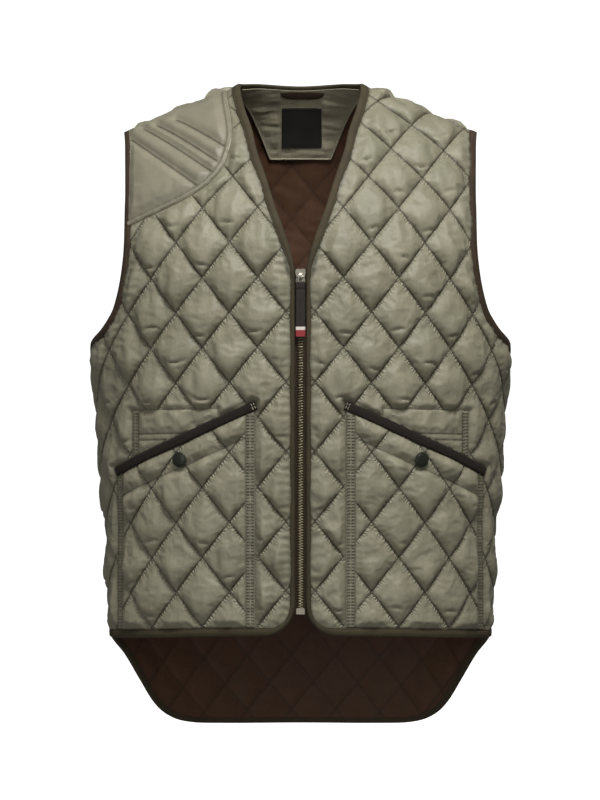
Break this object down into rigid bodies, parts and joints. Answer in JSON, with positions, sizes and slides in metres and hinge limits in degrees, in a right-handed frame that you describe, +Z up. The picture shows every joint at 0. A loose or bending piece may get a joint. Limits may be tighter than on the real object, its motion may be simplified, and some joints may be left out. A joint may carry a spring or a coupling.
{
  "type": "quilted vest",
  "caption": "Sleeveless quilted vest with a V-neck, a front zip, slanted front pockets, bound edges and a long rounded back hem, filled out as worn.",
  "frame": {"origin": "on the centre plane, at the height of the two points where the shoulder seams meet the neckline, midway between front and back", "axes": "+Z up, -Y is the front of the vest, +X is the wearer's left"},
  "size_m": [0.4708, 0.2724, 0.7313],
  "materials": {
    "shell": "satin quilted nylon",
    "lining": "smooth quilted lining",
    "facing": "satin nylon",
    "tape": "woven tape",
    "braid": "ribbed braid",
    "label": "woven label",
    "metal": "nickel plated",
    "cap": "dark lacquer",
    "tab": "woven webbing"
  },
  "bodies": {
    "vest": {"front_left": "shell", "front_right": "shell", "back": "shell", "back_lining": "lining", "shoulder_patch_right": "shell", "neck_facing": "facing", "label": "label", "neck_tab": "tape", "pocket_left": "shell", "pocket_right": "shell", "pocket_trim_left": "braid", "pocket_trim_right": "braid", "upper_pocket_left": "shell", "upper_pocket_right": "shell", "snap_cap_left": "cap", "snap_cap_right": "cap", "neck_binding": "tape", "front_binding_left": "tape", "front_binding_right": "tape", "armhole_binding_left": "tape", "armhole_binding_right": "tape", "tail_binding": "tape", "zip_tape_left": "tape", "zip_tape_right": "tape", "zip_chain": "metal", "zip_box": "metal", "zip_slider": "metal"},
    "pull": {"pull_link": "metal", "pull_tab": "tab"}
  },
  "joints": [
    {"name": "pull_swing", "type": "hinge", "parent": "vest", "child": "pull", "pos_m": [0, -0.1436, -0.2224], "axis": [-1, 0, 0], "range_deg": [0, 165]}
  ]
}
